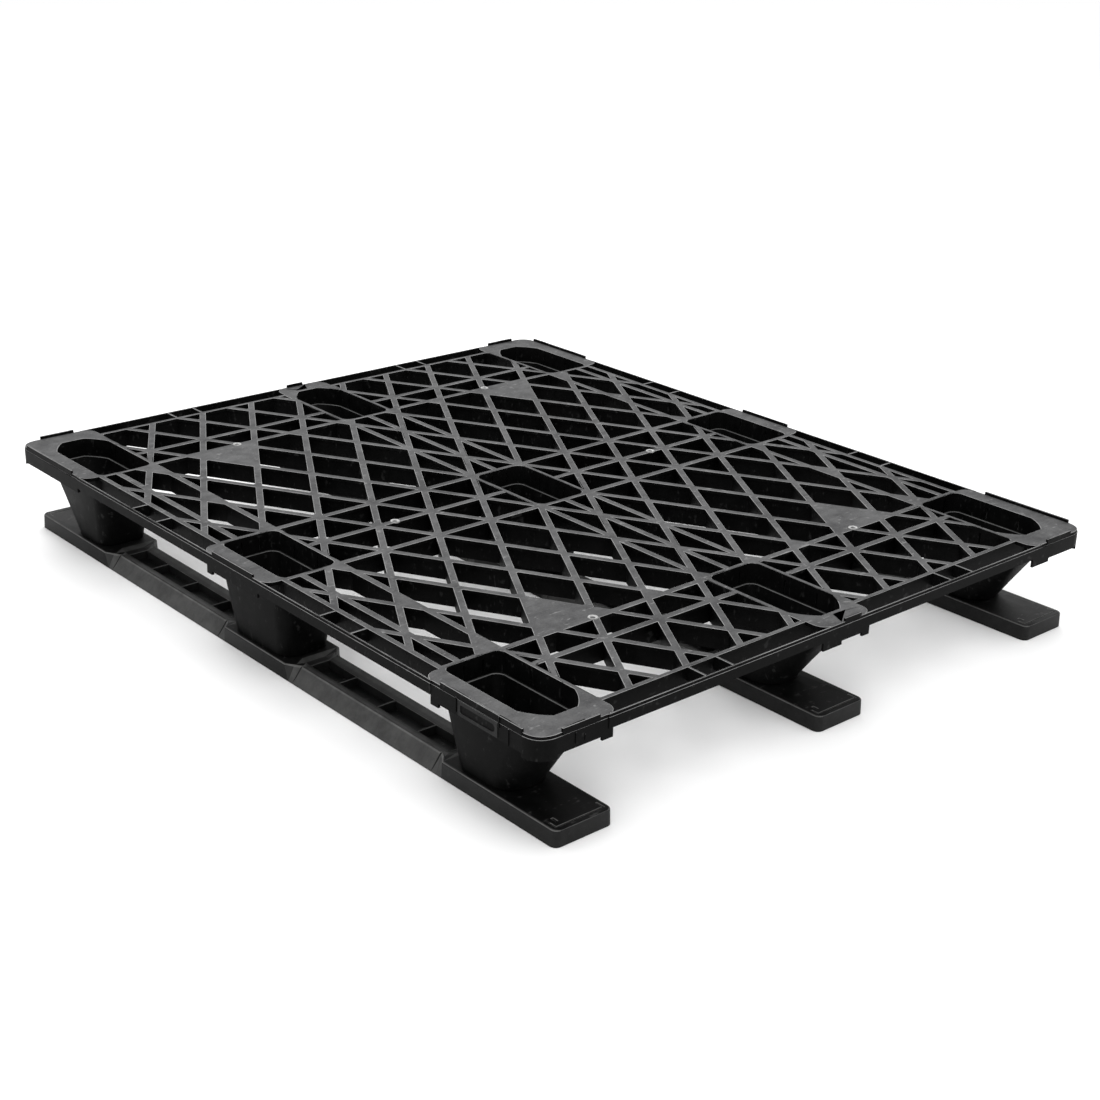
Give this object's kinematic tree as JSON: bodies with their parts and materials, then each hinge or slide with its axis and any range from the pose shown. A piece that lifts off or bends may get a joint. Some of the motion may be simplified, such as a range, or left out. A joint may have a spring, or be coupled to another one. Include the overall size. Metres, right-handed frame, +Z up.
{
  "type": "plastic pallet",
  "caption": "Flat grid-deck plastic pallet standing on hollow tapered feet, with runners beneath and fork ways from all sides.",
  "frame": {"origin": "centre of the footprint, on the floor the runners stand on", "axes": "+X across the runners, +Y along the runners, +Z up from the floor to the deck"},
  "size_m": [1, 1.2, 0.1445],
  "materials": {
    "deck_plastic": "black recycled polyolefin, satin matte with fine flow mottling",
    "runner_plastic": "black recycled polyolefin, matte",
    "screw_steel": "zinc-plated steel"
  },
  "bodies": {
    "root": {"deck": "deck_plastic", "foot_front_left": "deck_plastic", "foot_front_middle": "deck_plastic", "foot_front_right": "deck_plastic", "foot_middle_left": "deck_plastic", "foot_middle_middle": "deck_plastic", "foot_middle_right": "deck_plastic", "foot_back_left": "deck_plastic", "foot_back_middle": "deck_plastic", "foot_back_right": "deck_plastic", "runner_left": "runner_plastic", "runner_middle": "runner_plastic", "runner_right": "runner_plastic", "screw_front_left_a": "screw_steel", "screw_front_left_b": "screw_steel", "screw_front_middle_a": "screw_steel", "screw_front_middle_b": "screw_steel", "screw_front_right_a": "screw_steel", "screw_front_right_b": "screw_steel", "screw_middle_left_a": "screw_steel", "screw_middle_left_b": "screw_steel", "screw_middle_middle_a": "screw_steel", "screw_middle_middle_b": "screw_steel", "screw_middle_right_a": "screw_steel", "screw_middle_right_b": "screw_steel", "screw_back_left_a": "screw_steel", "screw_back_left_b": "screw_steel", "screw_back_middle_a": "screw_steel", "screw_back_middle_b": "screw_steel", "screw_back_right_a": "screw_steel", "screw_back_right_b": "screw_steel"}
  },
  "joints": []
}
